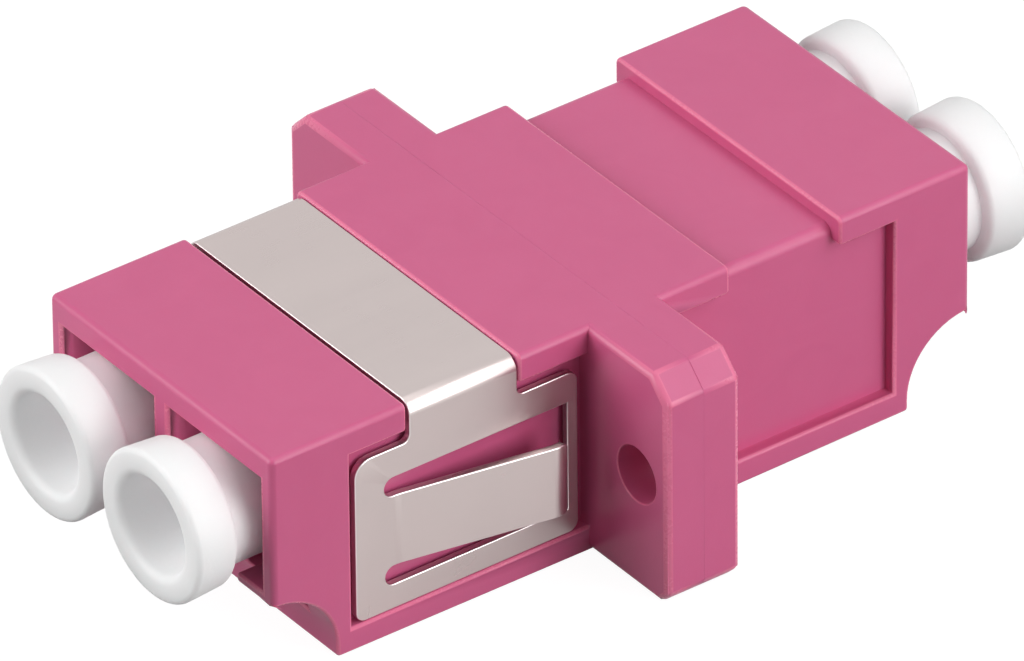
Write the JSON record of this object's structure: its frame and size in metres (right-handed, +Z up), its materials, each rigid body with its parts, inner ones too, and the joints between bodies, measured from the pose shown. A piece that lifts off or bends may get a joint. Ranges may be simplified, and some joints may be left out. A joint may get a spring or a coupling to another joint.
{
  "type": "lc fibre adapter",
  "caption": "Flanged panel adapter that couples pairs of LC fibre connectors end to end, with a spring clip, screw holes and dust caps.",
  "frame": {"origin": "on the plane that the adapter stands on, under the middle of the whole length with the four dust caps in; the weld at the middle of the flange is 0.21 mm from it towards -X, because the rear caps stand 0.42 mm further out than the front ones", "axes": "+X along the fibres, away from the end with the spring clip; +Y across, towards the left-hand ports; +Z up, away from the latch side"},
  "size_m": [0.036, 0.022, 0.0093],
  "materials": {
    "housing_plastic": "satin moulded magenta plastic",
    "clip_steel": "rolled stainless spring steel",
    "cap_plastic": "white polyethylene, slightly translucent",
    "sleeve_ceramic": "polished white zirconia"
  },
  "bodies": {
    "adapter": {"housing_front": "housing_plastic", "housing_rear": "housing_plastic", "spring_clip": "clip_steel", "sleeve_left": "sleeve_ceramic", "sleeve_right": "sleeve_ceramic"},
    "cap_front_left": {"dust_cap_front_left": "cap_plastic"},
    "cap_front_right": {"dust_cap_front_right": "cap_plastic"},
    "cap_rear_left": {"dust_cap_rear_left": "cap_plastic"},
    "cap_rear_right": {"dust_cap_rear_right": "cap_plastic"}
  },
  "joints": [
    {"name": "dust_cap_front_left_pull", "type": "slide", "parent": "adapter", "child": "cap_front_left", "axis": [-1, 0, 0], "range_m": [0, 0.009]},
    {"name": "dust_cap_front_right_pull", "type": "slide", "parent": "adapter", "child": "cap_front_right", "axis": [-1, 0, 0], "range_m": [0, 0.009]},
    {"name": "dust_cap_rear_left_pull", "type": "slide", "parent": "adapter", "child": "cap_rear_left", "axis": [1, 0, 0], "range_m": [0, 0.009]},
    {"name": "dust_cap_rear_right_pull", "type": "slide", "parent": "adapter", "child": "cap_rear_right", "axis": [1, 0, 0], "range_m": [0, 0.009]}
  ]
}
